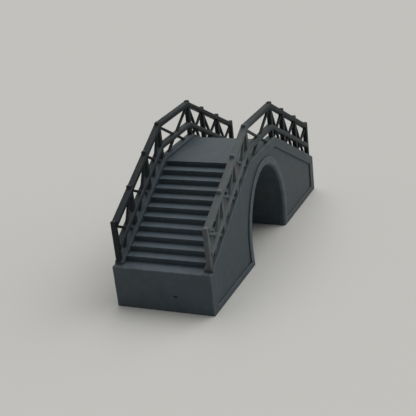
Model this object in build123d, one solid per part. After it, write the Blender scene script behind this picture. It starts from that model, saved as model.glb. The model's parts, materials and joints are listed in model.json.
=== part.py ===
from build123d import *
import os
from math import atan, atan2, degrees, hypot, tan

# A moon bridge miniature: two arched side walls, a stair up each end, a flat
# deck over the arch and a braced railing along each side. X runs along the
# bridge, Y across it and Z up; the origin is the centre of the base.

# Driving dimensions in millimetres
length = 93.2
width = 30.0
landing_height = 12.4
deck_height = 30.8
riser_count = 11
landing_depth = 4.3
deck_half_length = 10.75

wall_thickness = 2.7
kerb_height = 1.0
kerb_thickness = 1.2
kerb_bevel = 0.3
kerb_bend = 11.0
kerb_end_inset = 1.8
kerb_end_step = 0.75

top_border = 3.0
end_border = 3.2
bottom_border = 1.8
panel_recess = 0.45

arch_springing = 7.0
arch_half_width = 15.05
arch_foot_draw = 0.45
crown_cover = 2.4
ring_width = 2.0
ring_chamfer_inward = 0.65
ring_chamfer_depth = 0.5
ring_lip_depth = 1.2
barrel_setback = 0.25

tread_thickness = 0.5
tread_nosing = 0.12
step_joint = 0.05
deck_thickness = 0.8
landing_thickness = 1.0

post_size = 1.4
post_inset = 1.15
post_cap = 0.3
bend_post_inset = 0.2
bend_bay = 10.4
lower_bays = 2
rail_width = 2.0
rail_depth = 1.6
rail_round = 0.45
rail_bend_lead = 0.35
top_rail_over_deck_kerb = 10.95
top_rail_over_end_kerb = 11.15
mid_rail_over_kerb = 4.2
brace_size = 0.75
brace_lead = 0.7

# Places worked out from the driving dimensions
half_length = length / 2
inner_face = width / 2 - wall_thickness
riser = (deck_height - landing_height) / riser_count
tread_count = riser_count - 1
tread_depth = (half_length - landing_depth - deck_half_length) / tread_count
kerb_end = half_length - kerb_end_inset
kerb_flat = deck_height + kerb_height
kerb_low = landing_height + kerb_end_step
kerb_slope = (kerb_flat - kerb_low) / (kerb_end - kerb_bend)
end_post = kerb_end - post_size / 2
bend_post = kerb_bend - bend_post_inset
second_post = bend_post + bend_bay
lower_bay = (end_post - second_post) / lower_bays
post_places = [bend_post, *[second_post + lower_bay * i for i in range(lower_bays + 1)]]
post_line = width / 2 - post_inset
rail_bend = bend_post - rail_bend_lead
rail_end = end_post - post_size / 2


def kerb_top(x):
    """Height of the kerb's top at a place along the bridge."""
    return kerb_flat - kerb_slope * max(0, abs(x) - kerb_bend)


def rail_top(x, over_deck, over_end):
    """Height of a rail: level between the posts at the deck, then straight down to the end posts."""
    high = kerb_flat + over_deck
    low = kerb_top(end_post) + over_end
    return high - (high - low) * max(0, abs(x) - rail_bend) / (end_post - rail_bend)


def top_rail(x):
    return rail_top(x, top_rail_over_deck_kerb, top_rail_over_end_kerb)


def mid_rail(x):
    return rail_top(x, mid_rail_over_kerb, mid_rail_over_kerb)


def outline(*points):
    """A filled side-view outline through the points, in length and height."""
    return make_face(Polyline(*points, close=True))


def across(sketch, y_low, y_high):
    """Carries a side-view outline across the bridge from y_low to y_high."""
    return Pos(0, y_high, 0) * extrude(Plane.XZ * sketch, amount=y_high - y_low)


def arch(half_width):
    """The arch's side view at a half width: half an ellipse above the springing, drawn in below it."""
    rise = crown_height + half_width - ring_half_width - arch_springing
    foot = 1 - arch_foot_draw / half_width
    drop = arch_springing / (1 - foot**2) ** 0.5
    springing = Pos(0, arch_springing)
    above = Pos(0, rise / 2) * Rectangle(2 * half_width, rise)
    below = Pos(0, -arch_springing / 2) * Rectangle(2 * half_width, arch_springing)
    head = springing * (Ellipse(half_width, rise) & above)
    jambs = springing * (Ellipse(half_width, drop) & below)
    return head + jambs


crown_height = deck_height - crown_cover
ring_half_width = arch_half_width + ring_width
lip_half_width = arch_half_width - ring_chamfer_inward
barrel_half_width = lip_half_width + barrel_setback
arch_outer = arch(ring_half_width)


def save(shape, node):
    """Writes one node's solids."""
    export_step(shape, f"parts/{node}.step")


def side_wall():
    """The right wall, with its arch opening and its two sunk panels."""
    under_kerb = kerb_thickness
    face = outline(
        (-half_length, 0),
        (-half_length, landing_height),
        (-kerb_end, landing_height),
        (-kerb_end, kerb_low - under_kerb),
        (-kerb_bend, kerb_flat - under_kerb),
        (kerb_bend, kerb_flat - under_kerb),
        (kerb_end, kerb_low - under_kerb),
        (kerb_end, landing_height),
        (half_length, landing_height),
        (half_length, 0),
    )
    wall = across(face - arch_outer, -width / 2, -inner_face)
    slope_drop = top_border * hypot(1, kerb_slope)
    panel_end = half_length - end_border
    panel_bend = kerb_bend - top_border * tan(atan(kerb_slope) / 2)
    panel = outline(
        (-panel_end, bottom_border),
        (-panel_end, kerb_top(panel_end) - slope_drop),
        (-panel_bend, kerb_flat - top_border),
        (panel_bend, kerb_flat - top_border),
        (panel_end, kerb_top(panel_end) - slope_drop),
        (panel_end, bottom_border),
    )
    return wall - across(panel - arch_outer, -width / 2, -width / 2 + panel_recess)


def arch_ring():
    """The right arch ring: a flat band, a chamfered reveal and a lip."""
    outer_face = -width / 2
    reveal_end = outer_face + ring_chamfer_depth
    lip_end = reveal_end + ring_lip_depth
    band = across(arch_outer, outer_face, -inner_face)
    mouth = Plane.XZ.offset(-outer_face) * arch(arch_half_width)
    lip = Plane.XZ.offset(-reveal_end) * arch(lip_half_width)
    reveal = loft([mouth, lip], ruled=True)
    through = across(arch(lip_half_width), reveal_end, lip_end)
    inner = across(arch(barrel_half_width), lip_end, -inner_face)
    return band - reveal - through - inner


def kerb(x_from, x_to):
    """One straight run of the right kerb, bevelled along its outer top edge."""
    low = [(x, kerb_top(x) - kerb_thickness) for x in (x_from, x_to)]
    high = [(x, kerb_top(x)) for x in (x_to, x_from)]
    run = across(outline(*low, *high), -width / 2, -inner_face)
    edge = run.edges().filter_by(lambda e: abs(e.center().Y + width / 2) < kerb_bevel / 2)
    top = edge.sort_by(lambda e: e.center().Z - kerb_top(e.center().X))[-1]
    return chamfer(top, kerb_bevel)


def step_place(i):
    """The back of a step and the height of its tread, counted down from the deck."""
    return deck_half_length + i * tread_depth, deck_height - (i + 1) * riser


def ramp(x):
    """Height of the sloping bed under the steps."""
    back, tread = step_place(0)
    return tread - tread_thickness - (x - back) * riser / tread_depth


def stair_core(side):
    """The block under one flight, from the vault to the landing, with a sloping top."""
    near, far = ring_half_width, half_length - landing_depth
    points = [(near, 0), (near, ramp(near)), (far, ramp(far)), (far, 0)]
    return across(outline(*[(side * x, z) for x, z in points]), -inner_face, inner_face)


def steps(side):
    """The steps of one flight, each a wedge on the sloping bed with a small nosing."""
    wedges = []
    for i in range(tread_count):
        back, top = step_place(i)
        front = back + tread_depth
        profile = [
            (back + step_joint, ramp(back + step_joint)),
            (back + step_joint, top),
            (front + tread_nosing, top),
            (front + tread_nosing, top - tread_thickness),
            (front, top - tread_thickness),
            (front, ramp(front)),
        ]
        wedges.append(across(outline(*[(side * x, z) for x, z in profile]), -inner_face, inner_face))
    return Compound(children=wedges)


def arch_vault():
    """The block over and beside the arch, with the tunnel cut through it."""
    under_deck = deck_height - deck_thickness
    half = [
        (ring_half_width, 0),
        (ring_half_width, ramp(ring_half_width)),
        (deck_half_length, ramp(deck_half_length)),
        (deck_half_length, under_deck),
    ]
    profile = outline(*half, *[(-x, z) for x, z in reversed(half)])
    return across(profile - arch(barrel_half_width), -inner_face, inner_face)


def post_height(x):
    """Height of a post's cap, over the rail's top at the post's higher face."""
    return top_rail(abs(x) - post_size / 2) + post_cap


def kerb_side():
    """The side view of everything under the line of the kerb's top."""
    high = [(kerb_bend, kerb_flat), (-kerb_bend, kerb_flat)]
    return outline((-kerb_end, kerb_low), (kerb_end, kerb_low), *high)


def post(x, y):
    """One square post, from the kerb to its cap above the top rail."""
    half = post_size / 2
    head = post_height(x)
    corners = [(x - half, kerb_low), (x + half, kerb_low), (x + half, head), (x - half, head)]
    return across(outline(*corners) - kerb_side(), y - half, y + half)


def rail_side(ends, line):
    """The side view of a straight rail between two places along the bridge."""
    under = [(x, line(x) - rail_depth) for x in ends]
    over = [(x, line(x)) for x in reversed(ends)]
    return outline(*under, *over)


def rail(ends, line, y, posts):
    """A straight rail with rounded edges, which the posts pass through."""
    run = across(rail_side(ends, line), y - rail_width / 2, y + rail_width / 2)
    middle = sum(ends) / 2
    long_edges = run.edges().filter_by(lambda e: abs(e.center().X - middle) < rail_round)
    return fillet(long_edges, rail_round) - posts


def bar(top, middle):
    """The side view of a thin bar from a top corner through the bay's crossing, and past it."""
    span = 3 * hypot(middle[0] - top[0], middle[1] - top[1])
    turn = degrees(atan2(middle[1] - top[1], middle[0] - top[0]))
    return Pos(*middle) * Rot(0, 0, turn) * Rectangle(span, brace_size)


def braces(ends):
    """The crossed bars of one bay, which meet behind its mid rail, uphill of the bay's middle."""
    under = [(x, top_rail(x) - rail_depth) for x in ends]
    field = outline(*[(x, kerb_top(x)) for x in ends], *reversed(under))
    centre = sum(ends) / 2
    uphill = (centre < 0) - (centre > 0)
    crossing = centre + uphill * brace_lead
    middle = (crossing, mid_rail(crossing) - rail_depth / 2)
    bars = bar(under[0], middle) + bar(under[1], middle)
    return (bars & field) - rail_side(ends, mid_rail)


def bays(side):
    """The clear spans between the posts of one slope, or of the deck when side is 0."""
    half = post_size / 2
    if side == 0:
        return [(half - bend_post, bend_post - half)]
    spans = zip(post_places, post_places[1:])
    return [tuple(sorted((side * (a + half), side * (b - half)))) for a, b in spans]


os.makedirs("parts", exist_ok=True)

runs = {"front": -1, "deck": 0, "rear": 1}
kerb_runs = {
    "front": (-kerb_end, -kerb_bend),
    "deck": (-kerb_bend, kerb_bend),
    "rear": (kerb_bend, kerb_end),
}

right_pieces = {"right_side_wall": side_wall(), "right_arch_ring": arch_ring()}
for name, ends in kerb_runs.items():
    right_pieces[f"right_{name}_kerb"] = kerb(*ends)
for node, shape in right_pieces.items():
    save(shape, node)
    save(mirror(shape, about=Plane.XZ), node.replace("right", "left"))

rail_runs = {
    "front": (-rail_end, -rail_bend),
    "deck": (-rail_bend, rail_bend),
    "rear": (rail_bend, rail_end),
}
for hand, y in (("right", -post_line), ("left", post_line)):
    posts = Compound(children=[post(side * x, y) for side in (-1, 1) for x in post_places])
    save(posts, f"{hand}_posts")
    for name, side in runs.items():
        save(rail(rail_runs[name], top_rail, y, posts), f"{hand}_{name}_top_rail")
        save(rail(rail_runs[name], mid_rail, y, posts), f"{hand}_{name}_mid_rail")
        faces = (y - brace_size / 2, y + brace_size / 2)
        crosses = [across(braces(span), *faces) for span in bays(side)]
        save(Compound(children=crosses), f"{hand}_{name}_braces")

save(arch_vault(), "arch_vault")

deck_length = 2 * (deck_half_length + tread_nosing)
deck = Box(deck_length, 2 * inner_face, deck_thickness, align=(Align.CENTER, Align.CENTER, Align.MAX))
save(Pos(0, 0, deck_height) * deck, "deck_slab")

for name, side in (("front", -1), ("rear", 1)):
    save(stair_core(side), f"{name}_stair_core")
    save(steps(side), f"{name}_steps")
    middle = side * (half_length - landing_depth / 2)
    under_landing = landing_height - landing_thickness
    slab = Box(landing_depth, 2 * inner_face, landing_thickness)
    block = Box(landing_depth, 2 * inner_face, under_landing)
    save(Pos(middle, 0, landing_height - landing_thickness / 2) * slab, f"{name}_landing")
    save(Pos(middle, 0, under_landing / 2) * block, f"{name}_end_wall")
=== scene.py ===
import json
import math

import bpy
import numpy as np
from mathutils import Matrix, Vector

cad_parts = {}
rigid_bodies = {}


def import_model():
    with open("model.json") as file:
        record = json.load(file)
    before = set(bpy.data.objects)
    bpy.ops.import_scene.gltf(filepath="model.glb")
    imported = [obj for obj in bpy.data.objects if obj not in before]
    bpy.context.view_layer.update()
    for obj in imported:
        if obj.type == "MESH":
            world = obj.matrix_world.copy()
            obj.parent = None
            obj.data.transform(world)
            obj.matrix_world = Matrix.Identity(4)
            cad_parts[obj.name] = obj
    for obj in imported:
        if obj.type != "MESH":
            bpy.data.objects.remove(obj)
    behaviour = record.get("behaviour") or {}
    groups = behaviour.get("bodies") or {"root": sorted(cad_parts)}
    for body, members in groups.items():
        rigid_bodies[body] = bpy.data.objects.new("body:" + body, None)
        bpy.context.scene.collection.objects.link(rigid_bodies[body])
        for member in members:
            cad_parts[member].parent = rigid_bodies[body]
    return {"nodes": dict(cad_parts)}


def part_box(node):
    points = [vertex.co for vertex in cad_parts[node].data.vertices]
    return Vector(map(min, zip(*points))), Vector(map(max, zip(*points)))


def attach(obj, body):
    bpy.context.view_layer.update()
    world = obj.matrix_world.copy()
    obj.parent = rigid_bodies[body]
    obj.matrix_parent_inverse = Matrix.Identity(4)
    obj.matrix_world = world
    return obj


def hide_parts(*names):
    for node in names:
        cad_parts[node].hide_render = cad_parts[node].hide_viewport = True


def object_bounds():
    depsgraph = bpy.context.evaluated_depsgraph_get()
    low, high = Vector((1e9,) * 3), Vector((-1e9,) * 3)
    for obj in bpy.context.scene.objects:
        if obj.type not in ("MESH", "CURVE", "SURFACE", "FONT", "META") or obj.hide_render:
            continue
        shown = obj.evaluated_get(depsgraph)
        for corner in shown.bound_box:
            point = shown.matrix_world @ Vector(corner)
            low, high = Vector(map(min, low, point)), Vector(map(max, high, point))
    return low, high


bl_info = {
    "name": "Moon bridge miniature",
    "version": (1, 0, 0),
    "blender": (4, 5, 0),
    "location": "View3D > Sidebar > Moon bridge",
    "description": "Dresses a moon bridge miniature as a matte slate resin print",
    "category": "Add Mesh",
}

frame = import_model()
for thing in list(bpy.data.objects):
    if thing.type in {"MESH", "LIGHT", "CAMERA"} and thing.name not in frame["nodes"]:
        bpy.data.objects.remove(thing)
cad_box = [list(corner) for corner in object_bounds()]
MM = 0.001


def span(node, axis):
    """Lowest and highest place of a CAD node along an axis, 0 for X, 1 for Y and 2 for Z."""
    low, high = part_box(node)
    return low[axis], high[axis]


# Places and sizes of the bridge's parts in metres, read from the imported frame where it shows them
HALF_LENGTH = cad_box[1][0]
HALF_WIDTH = cad_box[1][1]
INNER_FACE = span("front_landing", 1)[1]
LANDING_TOP = span("front_landing", 2)[1]
LANDING_BACK = -span("front_landing", 0)[1]
DECK_UNDER, DECK_TOP = span("deck_slab", 2)
TREAD_COUNT = 10
RISER = (DECK_TOP - LANDING_TOP) / (TREAD_COUNT + 1)
NOSING = span("rear_steps", 0)[1] - LANDING_BACK
STAIR_BACK = span("deck_slab", 0)[1] - NOSING
TREAD_DEPTH = (LANDING_BACK - STAIR_BACK) / TREAD_COUNT
TREAD_LIP = 0.5 * MM
KERB_FLAT = span("right_deck_kerb", 2)[1]
KERB_THICK = KERB_FLAT - span("right_deck_kerb", 2)[0]
KERB_BEND = span("right_deck_kerb", 0)[1]
KERB_END = span("right_rear_kerb", 0)[1]
KERB_LOW = span("right_rear_kerb", 2)[0] + KERB_THICK
KERB_SLOPE = (KERB_FLAT - KERB_LOW) / (KERB_END - KERB_BEND)
RAIL_BEND = span("left_deck_top_rail", 0)[1]
RAIL_END = span("left_rear_top_rail", 0)[1]
RAIL_INNER, RAIL_OUTER = span("left_deck_top_rail", 1)
RAIL_HALF = (RAIL_OUTER - RAIL_INNER) / 2
RAIL_LINE = (RAIL_OUTER + RAIL_INNER) / 2
RAIL_TENON = 0.15 * MM
RAIL_UNDER, RAIL_TOP = span("left_deck_top_rail", 2)
RAIL_DEPTH = RAIL_TOP - RAIL_UNDER
RAIL_LOW = span("left_rear_top_rail", 2)[0] + RAIL_DEPTH
MID_TOP = span("left_deck_mid_rail", 2)[1]
MID_LOW = span("left_rear_mid_rail", 2)[0] + RAIL_DEPTH
POST_HALF = (span("left_posts", 1)[1] - span("left_posts", 1)[0]) / 2
END_POST = span("left_posts", 0)[1] - POST_HALF
POST_CAP = span("left_posts", 2)[1] - RAIL_TOP
DECK_BAY_END = span("left_deck_braces", 0)[1]
BEND_POST = DECK_BAY_END + POST_HALF
BEND_BAY = 10.4 * MM
LOWER_BAYS = 2
POST_PLACES = np.append(BEND_POST, np.linspace(BEND_POST + BEND_BAY, END_POST, LOWER_BAYS + 1))
BRACE_HALF = (span("left_deck_braces", 1)[1] - span("left_deck_braces", 1)[0]) / 2
BRACE_LEAD = 0.7 * MM
RING_HALF = span("right_arch_ring", 0)[1]
CROWN = span("right_arch_ring", 2)[1]
SPRINGING = 7.0 * MM
JAMB_SHARE = 0.16
FOOT_DRAW = 0.45 * MM
RING_WIDTH = 2.0 * MM
REVEAL_INWARD = 0.65 * MM
REVEAL_DEPTH = 0.5 * MM
LIP_DEPTH = 1.2 * MM
BARREL_SETBACK = 0.25 * MM
BARREL_HALF = RING_HALF - RING_WIDTH - REVEAL_INWARD + BARREL_SETBACK
RING_ROUNDINGS = np.array([0.02, 0.2, 0.18, 0.12, 0.1, 0.05, 0.02]) * MM
# Painted highlight: how much paler the ring's face is made
RING_FACE_HIGHLIGHT = 0.75
ARCH_STATIONS = 97
PANEL_DEPTH = 0.45 * MM
TOP_BORDER = 3.0 * MM
END_BORDER = 3.2 * MM
BOTTOM_BORDER = 1.8 * MM
PANEL_FOOT_SHARE = JAMB_SHARE * BOTTOM_BORDER / SPRINGING
PANEL_FLAT_FROM = 0.5 * MM
CORNER_WIDTH = 0.05 * MM
CORNER_RISE = 0.04 * MM
CROWN_CLEARANCE = 0.02 * MM
UNDER_STEPS = DECK_TOP - RISER - 1.2 * MM
PIT_PLACE = (-3.6 * MM, 4.75 * MM)
PIT_SIZE = (0.42 * MM, 0.26 * MM)
PIT_DEPTH = 0.6 * MM
END_FACE_STEP = 0.2 * MM
END_FACE_STATIONS = 124
FLIGHT_STATIONS = 13
DECK_STATIONS = 9
CAP_RADIUS = 0.34 * MM
POST_ROOT = 0.1 * MM
POST_FOOT = 0.4 * MM
# Painted highlight on the posts' domed caps, row by row
POST_CAP_HIGHLIGHT = (0, 0, 0, 0.5, 0.9, 1.0, 0.6)
KERB_TIP_RADIUS = 0.1 * MM
RAIL_TIP_RADIUS = 0.12 * MM
BRACE_ROOT = 0.3 * MM
BRACE_FOOT = 0.25 * MM
SHARP_TURN = math.radians(40)

# The stage: the camera's axes and place, and each sun's turn, height and spread in degrees, its
# level and its colour
CAMERA_RIGHT = np.array([0.38376, -0.91749, -0.10455])
CAMERA_DOWN = np.array([-0.39198, -0.05934, -0.91806])
CAMERA_FORWARD = np.array([0.83611, 0.39330, -0.38241])
CAMERA_PLACE = np.array([-249.216, -111.793, 124.949]) * MM
SENSOR_WIDTH = 36.0
LENS = 81.25
SUNS = (("overhead_softlight", -8, 67, 75, 0.67, (1.0, 0.995, 0.98)),
        ("side_softlight", -50, 28, 60, 0.17, (1.0, 1.0, 1.0)))
ROOM_COLOUR = (0.93, 0.96, 1.0, 1)
ROOM_LEVEL = 0.13
SHOWN_LEVEL = 0.82
FLOOR_REACH = 3.0


class MoonBridgeSizes(bpy.types.PropertyGroup):
    """Small sizes that finish the print: how soft its edges are and how fine its layers."""

    edge_radius: bpy.props.FloatProperty(
        name="Edge softness", description="Rounding of the masonry's long edges",
        default=0.16 * MM, min=0.02 * MM, max=0.4 * MM, unit="LENGTH", precision=5)
    landing_radius: bpy.props.FloatProperty(
        name="Landing edge", description="Rounding of the edge above each end face",
        default=0.4 * MM, min=0.05 * MM, max=0.6 * MM, unit="LENGTH", precision=5)
    nosing_radius: bpy.props.FloatProperty(
        name="Nosing softness", description="Rounding of each tread's front edge",
        default=0.1 * MM, min=0.02 * MM, max=0.2 * MM, unit="LENGTH", precision=5)
    kerb_radius: bpy.props.FloatProperty(
        name="Kerb bevel", description="Rounding of the kerb's outer top edge",
        default=0.3 * MM, min=0.05 * MM, max=0.5 * MM, unit="LENGTH", precision=5)
    rail_radius: bpy.props.FloatProperty(
        name="Rail softness", description="Rounding of the rails' edges",
        default=0.45 * MM, min=0.02 * MM, max=0.6 * MM, unit="LENGTH", precision=5)
    post_radius: bpy.props.FloatProperty(
        name="Post softness", description="Rounding of the posts' edges",
        default=0.14 * MM, min=0.02 * MM, max=0.4 * MM, unit="LENGTH", precision=5)
    brace_radius: bpy.props.FloatProperty(
        name="Brace softness", description="Rounding of the thin brace bars",
        default=0.14 * MM, min=0.02 * MM, max=0.2 * MM, unit="LENGTH", precision=5)
    layer_height: bpy.props.FloatProperty(
        name="Print layer", description="Height of one layer of the resin print",
        default=0.05 * MM, min=0.01 * MM, max=0.2 * MM, unit="LENGTH", precision=5)


class MoonBridgeColours(bpy.types.PropertyGroup):
    """Colours of the resin and of the stage."""

    resin: bpy.props.FloatVectorProperty(
        name="Resin", description="Slate colour of the print",
        default=(0.050, 0.069, 0.080), size=3, min=0, max=1, subtype="COLOR")
    # Scuffed edges, made paler also as painted highlight
    edge: bpy.props.FloatVectorProperty(
        name="Edges", description="Paler colour of rubbed edges",
        default=(0.118, 0.150, 0.164), size=3, min=0, max=1, subtype="COLOR")
    warm: bpy.props.FloatVectorProperty(
        name="Warm mottle", description="Faint brownish patches of the print",
        default=(0.062, 0.064, 0.068), size=3, min=0, max=1, subtype="COLOR")
    # A paler copy of the slate: painted light on the steps, landings and end faces
    steps: bpy.props.FloatVectorProperty(
        name="Steps", description="Slightly paler slate of the steps, landings and end faces",
        default=(0.063, 0.087, 0.104), size=3, min=0, max=1, subtype="COLOR")
    # The same patches in the paler, painted-light copy
    steps_warm: bpy.props.FloatVectorProperty(
        name="Steps mottle", description="Faint brownish patches of the steps",
        default=(0.078, 0.081, 0.088), size=3, min=0, max=1, subtype="COLOR")
    # A darker copy of the slate: painted shade on the railing
    railing: bpy.props.FloatVectorProperty(
        name="Railing", description="Dark slate of the thin railing",
        default=(0.018, 0.025, 0.029), size=3, min=0, max=1, subtype="COLOR")
    # The same patches in the darker, painted-shade copy
    railing_warm: bpy.props.FloatVectorProperty(
        name="Railing mottle", description="Brownish patches on the dark railing",
        default=(0.028, 0.027, 0.028), size=3, min=0, max=1, subtype="COLOR")
    # A darker copy of the slate: painted shade on the middle rails, less deep than the railing's
    mid_rail: bpy.props.FloatVectorProperty(
        name="Middle rail", description="Slate of the middle rail, between the wall's and the railing's",
        default=(0.030, 0.040, 0.046), size=3, min=0, max=1, subtype="COLOR")
    # The same patches in this painted-shade copy
    mid_rail_warm: bpy.props.FloatVectorProperty(
        name="Middle rail mottle", description="Brownish patches on the middle rail",
        default=(0.042, 0.042, 0.043), size=3, min=0, max=1, subtype="COLOR")
    # A paler copy: painted light on the railing at the right of the front flight
    railing_worn: bpy.props.FloatVectorProperty(
        name="Painted light railing", description="Paler slate of the railing at the right of the front flight",
        default=(0.105, 0.124, 0.130), size=3, min=0, max=1, subtype="COLOR")
    # The same patches in the painted-light copy
    railing_worn_warm: bpy.props.FloatVectorProperty(
        name="Painted light railing mottle", description="Brownish patches on the paler railing",
        default=(0.125, 0.119, 0.117), size=3, min=0, max=1, subtype="COLOR")
    dust: bpy.props.FloatVectorProperty(
        name="Dust", description="Pale specks of dust",
        default=(0.15, 0.16, 0.16), size=3, min=0, max=1, subtype="COLOR")
    # Painted shade: near black for inward corners, the panel's inner corner and the pit
    corner: bpy.props.FloatVectorProperty(
        name="Corners", description="Nearly black colour of the tight corners",
        default=(0.012, 0.014, 0.016), size=3, min=0, max=1, subtype="COLOR")
    floor: bpy.props.FloatVectorProperty(
        name="Floor", description="Colour of the plain floor",
        default=(0.65, 0.642, 0.616), size=3, min=0, max=1, subtype="COLOR")


class Value:
    """A node's socket that takes part in Python sums, each of which adds a Math node."""

    def __init__(self, tree, socket):
        self.tree = tree
        self.socket = socket

    def maths(self, operation, *others):
        values = dict(enumerate((self, *others)))
        return self.tree.node("ShaderNodeMath", {"operation": operation}, values)

    def __add__(self, other):
        return self.maths("ADD", other)

    __radd__ = __add__

    def __mul__(self, other):
        return self.maths("MULTIPLY", other)

    __rmul__ = __mul__

    def __pow__(self, other):
        return self.maths("POWER", other)


class Tree:
    """A material's or the world's nodes, made one at a time from a type, settings and values."""

    def __init__(self, nodes_owner):
        nodes_owner.use_nodes = True
        self.nodes = nodes_owner.node_tree.nodes
        self.links = nodes_owner.node_tree.links
        self.nodes.clear()

    def node(self, kind, settings=None, values=None, output=0):
        """Adds a node, sets it up, fills its inputs and gives the output that is asked for."""
        made = self.nodes.new(kind)
        for name, setting in (settings or {}).items():
            setattr(made, name, setting)
        for name, value in (values or {}).items():
            if isinstance(value, Value):
                self.links.new(value.socket, made.inputs[name])
            else:
                made.inputs[name].default_value = value
        return Value(self, made.outputs[output]) if made.outputs else made

    def mix(self, amount, first, second, blend="MIX"):
        """A colour between two colours."""
        settings = {"data_type": "RGBA", "blend_type": blend}
        return self.node("ShaderNodeMix", settings, {0: amount, 6: first, 7: second}, output=2)

    def ramp(self, value, low, high):
        """The value stretched so that low gives 0 and high gives 1."""
        names = {"Value": value, "From Min": low, "From Max": high}
        return self.node("ShaderNodeMapRange", {"clamp": True}, names)

    def noise(self, place, scale, detail, roughness, stretch=None):
        """Cloudy noise from 0 to 1 at so many cells a metre."""
        if stretch:
            multiply = {"operation": "MULTIPLY"}
            place = self.node("ShaderNodeVectorMath", multiply, {0: place, 1: stretch})
        names = {"Vector": place, "Scale": scale, "Detail": detail, "Roughness": roughness}
        return self.node("ShaderNodeTexNoise", None, names)


def rounded(corners, radii, steps=4, support=2.5):
    """A closed outline with its corners rounded, as points and each point's scuffing and painted light
    and shade.

    Each corner point C with neighbours A and B becomes the curve (1-t)^2 a + 2t(1-t) C + t^2 b,
    where a and b lie at the corner's radius from C towards A and B. A plain point further out on
    each side keeps the flats flat. The second value is 1 on outward corners, for pale scuffed edges
    with painted highlight, -1 on inward ones, for painted shade, and 0 on flats.
    """
    corners = np.asarray(corners, float)
    radii = np.broadcast_to(radii, len(corners))[:, None]
    before = np.roll(corners, 1, 0) - corners
    after = np.roll(corners, -1, 0) - corners
    before_length = np.linalg.norm(before, axis=1, keepdims=True)
    after_length = np.linalg.norm(after, axis=1, keepdims=True)
    before_way = before / before_length
    after_way = after / after_length
    near = np.minimum(radii, 0.4 * np.minimum(before_length, after_length))
    t = np.linspace(0, 1, steps + 1)[None, :, None]
    first = (corners + before_way * near)[:, None]
    last = (corners + after_way * near)[:, None]
    curve = (1 - t) ** 2 * first + 2 * t * (1 - t) * corners[:, None] + t**2 * last
    lead = (corners + before_way * np.minimum(near * support, 0.48 * before_length))[:, None]
    tail = (corners + after_way * np.minimum(near * support, 0.48 * after_length))[:, None]
    points = np.concatenate([lead, curve, tail], 1).reshape(-1, 2)
    turn = np.sign(-before_way[:, 0] * after_way[:, 1] + before_way[:, 1] * after_way[:, 0])
    x, z = corners.T
    area = np.sum(x * np.roll(z, -1) - z * np.roll(x, -1))
    bump = np.concatenate([[0], np.sin(np.linspace(0.25, np.pi - 0.25, steps + 1)), [0]])
    wear_and_shading = (turn * np.sign(area))[:, None] * bump
    return points, wear_and_shading.ravel()


def offset(corners, distance):
    """An open outline moved sideways by a distance: each corner goes along its mitre."""
    way = np.diff(corners, axis=0)
    way = np.concatenate([way, way[-1:]])
    way = way / np.linalg.norm(way, axis=1, keepdims=True)
    side = np.stack([-way[:, 1], way[:, 0]], 1)
    previous = np.concatenate([side[:1], side[:-1]])
    mitre = (side + previous) / (1 + np.sum(side * previous, 1, keepdims=True))
    return corners + mitre * distance


def along(corners, counts):
    """Points spread evenly on each straight run of an open outline, count by count."""
    corners = np.asarray(corners, float)
    runs = [np.linspace(a, b, n, endpoint=False) for a, b, n in zip(corners, corners[1:], counts)]
    return np.concatenate([*runs, corners[-1:]])


def evened(points, wear_and_shading, step):
    """Adds points, with their scuffing and painted shading, to a closed outline until no two lie further
    apart than step.
    """
    ring = np.concatenate([points, points[:1]])
    wear_and_shading_values = np.append(wear_and_shading, wear_and_shading[0])[:, None]
    counts = np.ceil(np.linalg.norm(np.diff(ring, axis=0), axis=1) / step).astype(int).clip(1)
    return along(ring, counts)[:-1], along(wear_and_shading_values, counts)[:-1, 0]


def arch(half_width, t):
    """The arch's curve at a half width, from the left foot at t = 0 to the right foot at t = 1.

    Above the springing it is half an ellipse that keeps its distance from the outer ring at the
    crown; below, part of a taller ellipse, which draws each foot in a little.
    """
    half_width, t = np.broadcast_arrays(np.asarray(half_width, float), np.asarray(t, float))
    rise = CROWN - RING_HALF + half_width - SPRINGING
    foot = 1 - FOOT_DRAW / half_width
    drop = SPRINGING / np.sqrt(1 - foot**2)
    angle = np.pi * (1 - np.clip((t - JAMB_SHARE) / (1 - 2 * JAMB_SHARE), 0, 1))
    below = SPRINGING * np.clip(1 - np.minimum(t, 1 - t) / JAMB_SHARE, 0, 1)
    x = half_width * np.cos(angle) * np.sqrt(1 - (below / drop) ** 2)
    z = SPRINGING + rise * np.sin(angle) - below
    return x, z


def kerb_top(x):
    """Height of the kerb's top: flat over the deck, then straight down to each end."""
    return KERB_FLAT - KERB_SLOPE * np.maximum(0, np.abs(x) - KERB_BEND)


def rail_top(x, high, low):
    """Height of a rail's top: flat between the posts at the deck, then straight down."""
    return high - (high - low) * np.maximum(0, np.abs(x) - RAIL_BEND) / (RAIL_END - RAIL_BEND)


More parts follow.
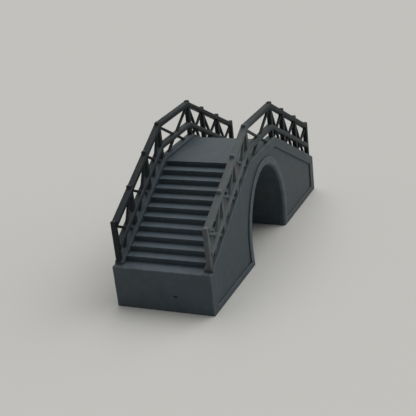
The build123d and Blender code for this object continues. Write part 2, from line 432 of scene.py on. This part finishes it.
def shell(name, points, wear_and_shading, finish):
    """Makes one object of closed shells from points of shape (shells, stations, ring, 3).

    Every ring is closed, neighbouring rings are joined by quads, and the first and last ring of
    each shell are filled. A shell that comes out inside out, by its signed volume, is turned round.
    """
    points = np.asarray(points, float)
    if points.ndim == 3:
        points = points[None]
    shells, stations, ring, _ = points.shape
    index = np.arange(points[..., 0].size).reshape(shells, stations, ring)
    a, b = index[:, :-1], index[:, 1:]
    quads = np.stack([a, np.roll(a, -1, 2), np.roll(b, -1, 2), b], -1).reshape(-1, 4)
    flat = points.reshape(-1, 3)
    p, q, r, s = (flat[quads[:, i]] for i in range(4))
    volume = np.sum(p * np.cross(q, r)) + np.sum(p * np.cross(r, s))
    caps = np.concatenate([index[:, 0, ::-1], index[:, -1]])
    centres = flat[caps].mean(1, keepdims=True)
    volume += np.sum(centres * np.cross(flat[caps], np.roll(flat[caps], -1, 1)))
    if volume < 0:
        quads, caps = quads[:, ::-1], caps[:, ::-1]
    mesh = bpy.data.meshes.new(name)
    mesh.from_pydata(flat.tolist(), [], quads.tolist() + caps.tolist())
    mesh.polygons.foreach_set("use_smooth", np.ones(len(mesh.polygons), bool))
    mesh.set_sharp_from_angle(angle=SHARP_TURN)
    # Per point: 1 for pale scuffed edges with painted highlight, -1 and below for painted shade in
    # inward corners and the pit
    wear_and_shading_values = mesh.attributes.new("wear_and_shading", "FLOAT", "POINT")
    wear_and_shading_values.data.foreach_set("value", np.broadcast_to(wear_and_shading, points.shape[:-1]).astype(np.float32).ravel())
    mesh.update()
    piece = bpy.data.objects.new(name, mesh)
    bpy.context.scene.collection.objects.link(piece)
    weighted = piece.modifiers.new("Flat faces stay flat", "WEIGHTED_NORMAL")
    weighted.keep_sharp = True
    piece.data.materials.append(bpy.data.materials[finish])
    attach(piece, "root")
    return piece


def across(profile, places):
    """Carries a side-view profile (x, z) across the bridge through the places y."""
    x, z = profile.T
    shape = (len(places), len(profile))
    y = np.asarray(places)[:, None]
    return np.stack([np.broadcast_to(v, shape) for v in (x, y, z)], -1)


def box_section(half_y, low, high, radius, steps=3):
    """A rounded box section between two heights."""
    corners = [(-half_y, low), (half_y, low), (half_y, high), (-half_y, high)]
    return rounded(corners, radius, steps)


def soft_ends(stations, section, wear_and_shading, radius, steps=3):
    """Repeats a section at each station, drawn in round the first and last one."""
    centre = (section.min(0) + section.max(0)) / 2
    half = (section.max(0) - section.min(0)) / 2
    turn = np.linspace(0, np.pi / 2, steps + 1)
    inset = radius * (1 - np.sin(turn))
    reach = radius * (1 - np.cos(turn))
    first, last = stations[0], stations[-1]
    places = np.concatenate([first + reach, stations[1:-1], last - reach[::-1]])
    insets = np.concatenate([inset, np.zeros(len(stations) - 2), inset[::-1]])
    scale = 1 - insets[:, None, None] / half
    sections = centre + (section - centre) * scale
    # Painted highlight with scuffing on the rounded ends
    round_end = np.sin(np.clip(insets / max(radius, 1e-9), 0, 1) * np.pi)[:, None]
    return places, sections, np.maximum(wear_and_shading, round_end)


def side_wall(hand):
    """One side wall: an arched plate with a sunk panel each side of the arch.

    One parameter runs round the wall from foot to foot, the other from the arch out over the
    panel, its border and the outer edge, then back along the inner face.
    """
    size = bpy.context.scene.moon_bridge_sizes
    soft = size.edge_radius
    panel_end = HALF_LENGTH - END_BORDER
    panel_bend = KERB_BEND - TOP_BORDER * math.tan(math.atan(KERB_SLOPE) / 2)
    panel_low = kerb_top(panel_end) - TOP_BORDER * math.hypot(1, KERB_SLOPE)
    start = float(arch(RING_HALF, PANEL_FOOT_SHARE)[0])
    left = [(start, BOTTOM_BORDER), (-panel_end, BOTTOM_BORDER), (-panel_end, panel_low)]
    panel_top = KERB_FLAT - TOP_BORDER
    panel = left + [(-panel_bend, panel_top), (panel_bend, panel_top)]
    panel += [(-x, z) for x, z in reversed(left)]
    panel_counts = [16, 16, 26, 16, 26, 16, 16]
    foot = float(arch(RING_HALF, 0.0)[0])
    turn = np.linspace(0, np.pi / 2, 5)
    bend = size.landing_radius
    nose_x = bend * (1 - np.cos(turn)) - HALF_LENGTH
    nose_z = LANDING_TOP - bend * (1 - np.sin(turn))
    rim_left = np.array([(foot, 0), (-HALF_LENGTH, 0), *np.stack([nose_x, nose_z], 1),
                         (-KERB_END, LANDING_TOP), (-KERB_END, KERB_LOW - KERB_THICK),
                         (-KERB_BEND, KERB_FLAT - KERB_THICK)])
    inward_left = np.array([(0, 0), (1, 0), *np.stack([np.cos(turn), -np.sin(turn)], 1),
                            (0, -1), (0, 0), (0, 0)])
    flip = np.array([-1, 1])
    rim = np.concatenate([rim_left, rim_left[::-1] * flip])
    inward = np.concatenate([inward_left, inward_left[::-1] * flip])
    rim_counts = [16, 10, 1, 1, 1, 1, 1, 1, 26, 16, 26, 1, 1, 1, 1, 1, 1, 10, 16]
    arch_stops = [PANEL_FOOT_SHARE, 0.13, 0.22, 0.42]
    arch_stops += [1 - stop for stop in reversed(arch_stops)]
    arch_t = along(np.array(arch_stops)[:, None], panel_counts).ravel()

    def on_panel(grow):
        """The panel's outline moved out by a distance, and kept above the ring's crown."""
        x, z = along(offset(np.array(panel), grow), panel_counts).T
        crown = np.sqrt(np.clip(1 - (x / RING_HALF) ** 2, 0, 1)) * (CROWN - SPRINGING) + SPRINGING
        near_crown = np.abs(x) < 0.6 * RING_HALF
        return x, np.where(near_crown, np.maximum(z, crown + CROWN_CLEARANCE), z)

    def on_rim(inset):
        """The wall's outer edge drawn in by a distance."""
        return along(rim + inward * inset, rim_counts).T

    ring_path = arch(RING_HALF, arch_t)
    floor = HALF_WIDTH - PANEL_DEPTH
    quarter = np.linspace(0, np.pi / 2, 4)
    # Painted shade on the panel's inner corner rows (-1); painted highlight with scuffing on the rounded
    # panel and rim edges
    rows = [(ring_path, floor, 0), (on_panel(-PANEL_FLAT_FROM), floor, 0),
            (on_panel(-CORNER_WIDTH), floor, -1), (on_panel(0.0), floor + CORNER_RISE, -1)]
    rows += [(on_panel(soft * (1 - math.cos(a))), HALF_WIDTH - soft * (1 - math.sin(a)),
              math.sin(2 * a) * 0.7 + 0.3) for a in quarter]
    rows += [(on_panel(soft * 2.5), HALF_WIDTH, 0), (on_rim(soft * 2.2), HALF_WIDTH, 0)]
    rows += [(on_rim(soft * (1 - math.sin(a))), HALF_WIDTH - soft * (1 - math.cos(a)), 1)
             for a in quarter]
    rows += [(on_rim(0), HALF_WIDTH - 2.5 * soft, 0), (on_rim(0), INNER_FACE, 0),
             (ring_path, INNER_FACE, 0)]
    grid = np.stack([np.stack([x, np.full(len(x), hand * y), z], -1) for (x, z), y, _ in rows], 1)
    wear_and_shading = np.array([w for _, _, w in rows])
    return grid, wear_and_shading


def arch_ring(hand):
    """One arch ring: its section of band, reveal, lip and barrel, carried from foot to foot."""
    inner = RING_HALF - RING_WIDTH
    lip = inner - REVEAL_INWARD
    face = HALF_WIDTH
    lip_face = face - REVEAL_DEPTH
    lip_back = lip_face - LIP_DEPTH
    section = [(RING_HALF, INNER_FACE), (RING_HALF, face), (inner, face), (lip, lip_face),
               (lip, lip_back), (BARREL_HALF, lip_back - 0.02 * MM), (BARREL_HALF, INNER_FACE)]
    points, wear_and_shading = rounded(section, RING_ROUNDINGS, 4)
    # Painted highlight on the ring's face; the section's inward corners get painted shade
    on_face = (points[:, 1] > face - 0.3 * MM) & (points[:, 0] < RING_HALF - 0.1 * MM)
    wear_and_shading = np.maximum(wear_and_shading, RING_FACE_HIGHLIGHT * on_face)
    t = np.linspace(0, 1, ARCH_STATIONS)[:, None]
    x, z = arch(points[None, :, 0], t)
    y = np.broadcast_to(hand * points[:, 1], x.shape)
    return np.stack([x, y, z], -1), wear_and_shading


def make(name, grid, wear_and_shading, *nodes, finish="slate_resin"):
    """Makes a piece from its grid and lets it stand for its CAD nodes."""
    piece = shell(name, grid, wear_and_shading, finish)
    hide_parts(*nodes)


HANDS = (("right", -1), ("left", 1))


def end_faces(tree, x, y):
    """1 on the two end faces, 0 elsewhere: where the paler copy of the slate, painted light, shows."""
    return tree.ramp(x.maths("ABSOLUTE"), HALF_LENGTH - 0.3 * MM, HALF_LENGTH - 0.1 * MM)


def painted_light_front_right(tree, x, y):
    """Painted light on the railing: rises from 0 to 1 towards the front flight, on the right side alone.
    """
    return tree.ramp(x * -1, -14 * MM, 16 * MM) ** 3 * tree.ramp(y * -1, -4 * MM, 4 * MM)


# Each finish of the resin, lit and shaded copies of one slate that carry painted light and shade: pairs
# of colours and of edge lightening (scuffing with painted highlight), how much of the warm tint shows,
# its patches a metre, the shine, and where the second of each pair shows
FINISHES = {
    "slate_resin": {
        "cool": ("resin", "steps"), "warm": ("warm", "steps_warm"),
        "warmth": 0.38, "patches": 38, "wear_and_highlight_levels": (0.75, 0.75), "shine": 0.32, "share": end_faces},
    "step_resin_painted_light": {
        "cool": ("steps", "steps"), "warm": ("steps_warm", "steps_warm"),
        "warmth": 0.38, "patches": 38, "wear_and_highlight_levels": (0.75, 0.75), "shine": 0.32, "share": end_faces},
    "railing_resin": {
        "cool": ("railing", "railing_worn"), "warm": ("railing_warm", "railing_worn_warm"),
        "warmth": 0.85, "patches": 420, "wear_and_highlight_levels": (0.08, 0.85), "shine": 0.14, "share": painted_light_front_right},
    "mid_rail_resin": {
        "cool": ("mid_rail", "railing_worn"), "warm": ("mid_rail_warm", "railing_worn_warm"),
        "warmth": 0.6, "patches": 420, "wear_and_highlight_levels": (0.2, 0.6), "shine": 0.2, "share": painted_light_front_right},
}


class MakeMaterials(bpy.types.Operator):
    """Makes the matte slate resin of the print."""

    bl_idname = "moon_bridge.materials"
    bl_label = "Slate resin"

    def execute(self, context):
        for name, finish in FINISHES.items():
            self.resin(context, name, **finish)
        for node in frame["nodes"].values():
            node.data.materials.clear()
            node.data.materials.append(bpy.data.materials["slate_resin"])
        return {"FINISHED"}

    def resin(self, context, name, cool, warm, warmth, patches, wear_and_highlight_levels, shine, share):
        """One resin finish: two tints in clouds, pale edges of scuffing with painted highlight, painted
        shade in the corners, dust and fine relief.

        The cool tint, the warm tint and the edge lightening are pairs. Share says how much of each
        second one shows.
        """
        colours = context.scene.moon_bridge_colours
        sizes = context.scene.moon_bridge_sizes
        tree = Tree(bpy.data.materials.new(name))
        place = tree.node("ShaderNodeTexCoord", None, None, output=3)
        wear_and_shading = tree.node("ShaderNodeAttribute", {"attribute_name": "wear_and_shading"}, None, output=2)
        # The noises, with their cells a metre, detail and roughness
        cloud = tree.noise(place, 110, 4, 0.55)
        patch = tree.noise(place, patches, 3, 0.5)
        streak = tree.noise(place, 260, 3, 0.6, (1.0, 1.0, 0.22))
        grain = tree.noise(place, 5200, 2, 0.6)
        speck = tree.noise(place, 2100, 2, 0.5)
        blotch = tree.noise(place, 480, 3, 0.6)
        x, y, height = (tree.node("ShaderNodeSeparateXYZ", None, {0: place}, output=axis)
                        for axis in range(3))
        amount = share(tree, x, y)
        cool_tint, warm_tint = (
            tree.mix(amount, (*getattr(colours, first), 1), (*getattr(colours, second), 1))
            for first, second in (cool, warm))
        tint = tree.mix(tree.ramp(patch, 0.42, 0.68) * warmth, cool_tint, warm_tint)
        # Light and dark clouds over the tint, then pale edges of scuffing with painted highlight,
        # painted shade in corners and dust
        shade = (tree.ramp(cloud, 0.3, 0.7) * 0.18 + tree.ramp(streak, 0.3, 0.7) * 0.10
                 + tree.ramp(blotch, 0.35, 0.65) * 0.16 + 0.78)
        grey = tree.node("ShaderNodeCombineColor", None, {0: shade, 1: shade, 2: shade})
        base = tree.mix(1.0, tint, grey, "MULTIPLY")
        # Painted highlight, with some scuffing: pale colour on outward edges, post caps, rounded ends
        # and the ring's face
        wear_and_highlight = tree.ramp(wear_and_shading, 0.25, 1.0) * tree.ramp(blotch, 0.25, 0.6)
        rubbed = amount * (wear_and_highlight_levels[1] - wear_and_highlight_levels[0]) + wear_and_highlight_levels[0]
        base = tree.mix(wear_and_highlight * rubbed, base, (*colours.edge, 1))
        # Painted shade: inward corners and the pit darkened towards near black
        corner = tree.ramp(wear_and_shading * -1, 0.2, 1.0)
        base = tree.mix(corner * 0.75, base, (*colours.corner, 1))
        dusty = tree.ramp(speck, 0.70, 0.76) * 0.5
        base = tree.mix(dusty, base, (*colours.dust, 1))
        # The print's layers and its grain as relief, and a matte surface
        layers = (height * (2 * math.pi / sizes.layer_height)).maths("SINE")
        relief = layers * 0.10 + grain * 0.7 + streak * 0.6 + speck * 0.5 + blotch * 1.2
        bump = tree.node("ShaderNodeBump", None, {
            "Strength": 0.4, "Distance": 0.02 * MM, "Height": relief})
        roughness = tree.ramp(cloud, 0.2, 0.8) * 0.12 + tree.ramp(grain, 0.3, 0.7) * 0.08 + 0.52
        shader = tree.node("ShaderNodeBsdfPrincipled", None, {
            "Base Color": base, "Roughness": roughness, "Normal": bump, "Specular IOR Level": shine})
        tree.node("ShaderNodeOutputMaterial", None, {"Surface": shader})


class MakeWalls(bpy.types.Operator):
    """Makes both side walls with their sunk panels."""

    bl_idname = "moon_bridge.walls"
    bl_label = "Side walls"

    def execute(self, context):
        for name, hand in HANDS:
            make(f"{name}_panelled_wall", *side_wall(hand), f"{name}_side_wall")
        return {"FINISHED"}


class MakeRings(bpy.types.Operator):
    """Makes the moulded ring round each mouth of the arch."""

    bl_idname = "moon_bridge.rings"
    bl_label = "Arch rings"

    def execute(self, context):
        for name, hand in HANDS:
            make(f"{name}_moulded_ring", *arch_ring(hand), f"{name}_arch_ring")
        return {"FINISHED"}


class MakeTunnel(bpy.types.Operator):
    """Makes the smooth tunnel through the bridge and the mass round it."""

    bl_idname = "moon_bridge.tunnel"
    bl_label = "Tunnel"

    def execute(self, context):
        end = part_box("arch_vault")[1].x
        side = UNDER_STEPS - (end - STAIR_BACK) * RISER / TREAD_DEPTH
        right = [(STAIR_BACK, DECK_UNDER), (STAIR_BACK, UNDER_STEPS),
                 (end, side), (end, side / 2), (end, 0)]
        edge = [(-x, z) for x, z in reversed(right)] + right
        stops = [0, 0.12, 0.3, 0.41, 0.42]
        stops += [1 - stop for stop in reversed(stops)]
        counts = [12, 20, 20, 4, 16, 4, 20, 20, 12]
        t = along(np.array(stops)[:, None], counts).ravel()
        outer = along(edge, counts).T
        barrel = arch(BARREL_HALF, t)
        rows = [(barrel, -INNER_FACE), (barrel, 0), (barrel, INNER_FACE),
                (outer, INNER_FACE), (outer, -INNER_FACE)]
        grid = np.stack([np.stack([x, np.full(len(x), y), z], -1) for (x, z), y in rows], 1)
        make("smooth_tunnel", grid, 0.0, "arch_vault")
        return {"FINISHED"}


class MakeFlights(bpy.types.Operator):
    """Makes the two flights of ten steps, each one closed shell with soft nosings."""

    bl_idname = "moon_bridge.flights"
    bl_label = "Flights of steps"

    def execute(self, context):
        radius = context.scene.moon_bridge_sizes.nosing_radius
        front = TREAD_DEPTH + NOSING
        step = np.array([(0, 0), (front, 0), (front, -TREAD_LIP), (TREAD_DEPTH, -TREAD_LIP)])
        top = DECK_TOP - RISER
        move = np.arange(TREAD_COUNT)[:, None, None] * np.array([TREAD_DEPTH, -RISER])
        stair = (step + move).reshape(-1, 2) + np.array([STAIR_BACK, top])
        end = np.array([(LANDING_BACK, LANDING_TOP - TREAD_LIP), (STAIR_BACK, top - TREAD_LIP)])
        corners = np.concatenate([stair, end])
        # Roundings at the tread's back, over and under its front edge and at the riser's head
        radii = np.tile([0.06 * MM, radius, radius, 0.04 * MM], TREAD_COUNT)
        # Painted highlight on each nosing; painted shade at each tread's back and at the riser's head
        # under the nosing
        points, wear_and_shading = rounded(corners, np.concatenate([radii, [0.03 * MM] * 2]), 4)
        places = np.linspace(-INNER_FACE, INNER_FACE, FLIGHT_STATIONS)
        for name, side in (("front", -1), ("rear", 1)):
            grid = across(points * (side, 1), places)
            make(f"{name}_flight", grid, wear_and_shading, f"{name}_steps", finish="step_resin_painted_light")
        return {"FINISHED"}


def pitted(grid, wear_and_shading):
    """Sinks a small ragged pit in the front end face: a Gaussian dent with a smaller one beside it,
    darkened inside as painted shade.
    """
    x, y, z = np.moveaxis(grid, -1, 0)
    dents = [np.exp(-(((y - PIT_PLACE[0] - shift) / (PIT_SIZE[0] * scale)) ** 2
                      + ((z - PIT_PLACE[1] - shift / 3) / (PIT_SIZE[1] * scale)) ** 2))
             for shift, scale in ((0.0, 1.0), (PIT_SIZE[0], 0.6))]
    dent = np.clip(dents[0] + 0.6 * dents[1], 0, 1) * (x < -HALF_LENGTH + 0.05 * MM)
    # Painted shade: the dent lowers the value towards the near-black corner colour
    return np.stack([x + PIT_DEPTH * dent, y, z], -1), wear_and_shading - 2 * dent


class MakeEnds(bpy.types.Operator):
    """Makes the block under each landing, seamless with it and with a soft top edge."""

    bl_idname = "moon_bridge.ends"
    bl_label = "End blocks and landings"

    def execute(self, context):
        soft = context.scene.moon_bridge_sizes
        corners = [(LANDING_BACK, 0), (HALF_LENGTH, 0),
                   (HALF_LENGTH, LANDING_TOP), (LANDING_BACK, LANDING_TOP)]
        outline = rounded(corners, [0.02 * MM, 0.06 * MM, soft.landing_radius, 0.02 * MM], 6)
        points, wear_and_shading = evened(*outline, END_FACE_STEP)
        places = np.linspace(-INNER_FACE, INNER_FACE, END_FACE_STATIONS)
        wear_and_shading_values = np.broadcast_to(wear_and_shading, (len(places), len(wear_and_shading)))
        blocks = {"front": pitted(across(points * (-1, 1), places), wear_and_shading_values),
                  "rear": (across(points, places), wear_and_shading_values)}
        for name, (grid, wear_and_shading_values) in blocks.items():
            nodes = (f"{name}_end_wall", f"{name}_landing")
            make(f"{name}_end_block", grid, wear_and_shading_values, *nodes, finish="step_resin_painted_light")
        return {"FINISHED"}


class MakeDeck(bpy.types.Operator):
    """Makes the flat deck with a soft edge over each flight."""

    bl_idname = "moon_bridge.deck"
    bl_label = "Deck"

    def execute(self, context):
        radius = context.scene.moon_bridge_sizes.nosing_radius
        edge = STAIR_BACK + NOSING
        corners = [(-edge, DECK_UNDER), (edge, DECK_UNDER), (edge, DECK_TOP), (-edge, DECK_TOP)]
        points, wear_and_shading = rounded(corners, radius, 4)
        places = np.linspace(-INNER_FACE, INNER_FACE, DECK_STATIONS)
        make("soft_deck", across(points, places), wear_and_shading, "deck_slab")
        return {"FINISHED"}


class MakeKerbs(bpy.types.Operator):
    """Makes the kerb along the top of each side wall, bevelled along its outer edge."""

    bl_idname = "moon_bridge.kerbs"
    bl_label = "Kerbs"

    def execute(self, context):
        bevel = context.scene.moon_bridge_sizes.kerb_radius
        corners = [(INNER_FACE, -KERB_THICK), (HALF_WIDTH, -KERB_THICK),
                   (HALF_WIDTH, 0), (INNER_FACE, 0)]
        section, wear_and_shading = rounded(corners, [0.02 * MM, 0.02 * MM, bevel, 0.15 * MM], 4)
        bends = np.array([-KERB_END, -KERB_BEND, KERB_BEND, KERB_END])
        stations, sections, wear_and_shading_values = soft_ends(bends, section, wear_and_shading, KERB_TIP_RADIUS)
        line = kerb_top(stations)
        for name, hand in HANDS:
            x = np.broadcast_to(stations[:, None], sections.shape[:2])
            grid = np.stack([x, hand * sections[..., 0], line[:, None] + sections[..., 1]], -1)
            nodes = [f"{name}_{part}_kerb" for part in ("front", "deck", "rear")]
            make(f"{name}_bevelled_kerb", grid, wear_and_shading_values, *nodes)
        return {"FINISHED"}


class MakeRails(bpy.types.Operator):
    """Makes the top and middle rail of each side, soft-edged bars bent at the deck's ends."""

    bl_idname = "moon_bridge.rails"
    bl_label = "Rails"

    def execute(self, context):
        radius = context.scene.moon_bridge_sizes.rail_radius
        section, wear_and_shading = box_section(RAIL_HALF, -RAIL_DEPTH, 0, radius)
        tip = RAIL_END + RAIL_TENON
        bends = np.array([-tip, -RAIL_BEND, RAIL_BEND, tip])
        stations, sections, wear_and_shading_values = soft_ends(bends, section, wear_and_shading, RAIL_TIP_RADIUS)
        x = np.broadcast_to(stations[:, None], sections.shape[:2])
        for kind, high, low, finish in (("top", RAIL_TOP, RAIL_LOW, "railing_resin"),
                                        ("mid", MID_TOP, MID_LOW, "mid_rail_resin")):
            line = rail_top(stations, high, low)
            for name, hand in HANDS:
                y = hand * (RAIL_LINE + sections[..., 0])
                grid = np.stack([x, y, line[:, None] + sections[..., 1]], -1)
                nodes = [f"{name}_{part}_{kind}_rail" for part in ("front", "deck", "rear")]
                make(f"{name}_{kind}_handrail", grid, wear_and_shading_values, *nodes, finish=finish)
        return {"FINISHED"}


class MakePosts(bpy.types.Operator):
    """Makes the eight square posts of each side, with a small domed cap above the rail."""

    bl_idname = "moon_bridge.posts"
    bl_label = "Posts"

    def execute(self, context):
        radius = context.scene.moon_bridge_sizes.post_radius
        section, wear_and_shading = box_section(POST_HALF, -POST_HALF, POST_HALF, radius)
        x = np.concatenate([-POST_PLACES[::-1], POST_PLACES])
        head = rail_top(np.abs(x) - POST_HALF, RAIL_TOP, RAIL_LOW) + POST_CAP
        turn = np.linspace(0, np.pi / 2, 5)
        rise = -CAP_RADIUS * (1 - np.sin(turn))
        inset = np.concatenate([[0, 0], CAP_RADIUS * (1 - np.cos(turn))])
        scale = 1 - inset[None, :, None] / POST_HALF
        px = x[:, None, None] + section[None, None, :, 1] * scale
        py = np.broadcast_to(section[None, None, :, 0] * scale, px.shape)
        kerb = kerb_top(px[:, 0])
        foot = np.stack([kerb - POST_ROOT, kerb + POST_FOOT], 1)
        cap = head[:, None, None] + np.broadcast_to(rise[:, None], (len(x), len(turn), len(section)))
        pz = np.concatenate([foot, cap], 1)
        # Painted highlight: paler caps on the posts
        wear_and_shading_values = np.maximum(wear_and_shading, np.array(POST_CAP_HIGHLIGHT)[:, None])
        wear_and_shading_values = np.broadcast_to(wear_and_shading_values, px.shape)
        for name, hand in HANDS:
            grid = np.stack([px, hand * RAIL_LINE + py, pz], -1)
            make(f"{name}_square_posts", grid, wear_and_shading_values, f"{name}_posts", finish="railing_resin")
        return {"FINISHED"}


class MakeBraces(bpy.types.Operator):
    """Makes the crossed thin bars of every bay, each one straight from a top corner to the kerb."""

    bl_idname = "moon_bridge.braces"
    bl_label = "Braces"

    def execute(self, context):
        radius = context.scene.moon_bridge_sizes.brace_radius
        section, wear_and_shading = box_section(BRACE_HALF, -BRACE_HALF, BRACE_HALF, radius, 2)
        low, high = POST_PLACES[:-1] + POST_HALF, POST_PLACES[1:] - POST_HALF
        front_bays, rear_bays = np.stack([-high, -low], 1), np.stack([low, high], 1)
        bays = np.concatenate([rear_bays, front_bays, [[-DECK_BAY_END, DECK_BAY_END]]])
        centre = bays.mean(1)
        crossing = centre - np.sign(np.round(centre, 6)) * BRACE_LEAD
        middle = np.stack([crossing, rail_top(crossing, MID_TOP, MID_LOW) - RAIL_DEPTH / 2], 1)
        starts = np.stack([bays, rail_top(bays, RAIL_TOP, RAIL_LOW) - RAIL_DEPTH], -1)
        ways = middle[:, None] - starts
        gaps_start = starts[..., 1] - kerb_top(starts[..., 0])
        gaps_middle = (middle[:, 1] - kerb_top(middle[:, 0]))[:, None]
        reach = gaps_start / (gaps_start - gaps_middle)
        length = np.linalg.norm(ways, axis=-1, keepdims=True)
        unit = ways / length
        first = starts - unit * BRACE_ROOT
        last = starts + ways * reach[..., None] + unit * BRACE_FOOT
        ends = np.stack([first, last], 2).reshape(-1, 2, 2)
        way = ends[:, 1] - ends[:, 0]
        way = way / np.linalg.norm(way, axis=1, keepdims=True)
        side = np.stack([-way[:, 1], way[:, 0]], 1)
        xz = ends[:, :, None] + side[:, None, None] * section[None, None, :, 1:2]
        y = np.broadcast_to(section[None, None, :, 0], xz.shape[:3])
        for name, hand in HANDS:
            grid = np.stack([xz[..., 0], hand * RAIL_LINE + y, xz[..., 1]], -1)
            nodes = [f"{name}_{part}_braces" for part in ("front", "deck", "rear")]
            wear_and_shading_values = np.broadcast_to(wear_and_shading, y.shape)
            make(f"{name}_thin_braces", grid, wear_and_shading_values, *nodes, finish="railing_resin")
        return {"FINISHED"}


class MakeStage(bpy.types.Operator):
    """Makes the plain floor, the soft studio light and the camera."""

    bl_idname = "moon_bridge.stage"
    bl_label = "Stage"

    def execute(self, context):
        colours = context.scene.moon_bridge_colours
        corners = [(x * FLOOR_REACH, y * FLOOR_REACH, 0)
                   for x, y in ((-1, -1), (1, -1), (1, 1), (-1, 1))]
        mesh = bpy.data.meshes.new("plain_floor")
        mesh.from_pydata(corners, [], [(0, 1, 2, 3)])
        floor = bpy.data.objects.new("plain_floor", mesh)
        context.scene.collection.objects.link(floor)
        material = bpy.data.materials.new("pale_floor")
        tree = Tree(material)
        shader = tree.node("ShaderNodeBsdfPrincipled", None, {
            "Base Color": (*colours.floor, 1), "Roughness": 0.9, "Specular IOR Level": 0.1})
        tree.node("ShaderNodeOutputMaterial", None, {"Surface": shader})
        floor.data.materials.append(material)

        sky = bpy.data.worlds.new("soft_room")
        context.scene.world = sky
        tree = Tree(sky)
        rays = [tree.node("ShaderNodeLightPath", output=f"Is {kind} Ray")
                for kind in ("Camera", "Glossy", "Transmission")]
        seen = rays[0].maths("MAXIMUM", rays[1]).maths("MAXIMUM", rays[2])
        room = tree.node("ShaderNodeBackground", None, {"Color": ROOM_COLOUR, "Strength": ROOM_LEVEL})
        shown = tree.node("ShaderNodeBackground", None, {
            "Color": (*colours.floor, 1), "Strength": SHOWN_LEVEL})
        both = tree.node("ShaderNodeMixShader", None, {0: seen, 1: room, 2: shown})
        tree.node("ShaderNodeOutputWorld", None, {"Surface": both})

        for name, turn, height, spread, level, colour in SUNS:
            light = bpy.data.lights.new(name, "SUN")
            light.angle = math.radians(spread)
            light.energy = level * math.pi
            light.color = colour
            lamp = bpy.data.objects.new(name, light)
            lamp.rotation_euler = (0, math.radians(90 - height), math.radians(turn))
            context.scene.collection.objects.link(lamp)

        data = bpy.data.cameras.new("photo_view")
        data.sensor_width = SENSOR_WIDTH
        data.lens = LENS
        data.clip_start = 0.01
        data.clip_end = 20.0
        camera = bpy.data.objects.new("photo_view", data)
        turn = np.eye(4)
        turn[:3, :3] = np.stack([CAMERA_RIGHT, -CAMERA_DOWN, -CAMERA_FORWARD], 1)
        turn[:3, 3] = CAMERA_PLACE
        camera.matrix_world = Matrix(turn.tolist())
        context.scene.collection.objects.link(camera)
        context.scene.camera = camera
        context.scene.view_settings.view_transform = "Standard"
        return {"FINISHED"}


OPERATORS = (MakeMaterials, MakeWalls, MakeRings, MakeTunnel, MakeFlights, MakeEnds, MakeDeck, MakeKerbs,
             MakeRails, MakePosts, MakeBraces, MakeStage)


class MoonBridgePanel(bpy.types.Panel):
    """Lists the bridge's pieces, sizes and colours in the sidebar."""

    bl_idname = "VIEW3D_PT_moon_bridge"
    bl_label = "Moon bridge"
    bl_space_type = "VIEW_3D"
    bl_region_type = "UI"
    bl_category = "Moon bridge"

    def draw(self, context):
        for operator in OPERATORS:
            self.layout.operator(operator.bl_idname)
        for group in (context.scene.moon_bridge_sizes, context.scene.moon_bridge_colours):
            for name in group.__annotations__:
                self.layout.prop(group, name)


CLASSES = (MoonBridgeSizes, MoonBridgeColours, *OPERATORS, MoonBridgePanel)


def register():
    for each in CLASSES:
        bpy.utils.register_class(each)
    bpy.types.Scene.moon_bridge_sizes = bpy.props.PointerProperty(type=MoonBridgeSizes)
    bpy.types.Scene.moon_bridge_colours = bpy.props.PointerProperty(type=MoonBridgeColours)


def unregister():
    del bpy.types.Scene.moon_bridge_colours
    del bpy.types.Scene.moon_bridge_sizes
    for each in reversed(CLASSES):
        bpy.utils.unregister_class(each)


def main():
    register()
    for operator in OPERATORS:
        family, name = operator.bl_idname.split(".")
        getattr(getattr(bpy.ops, family), name)()


if __name__ == "__main__":
    main()
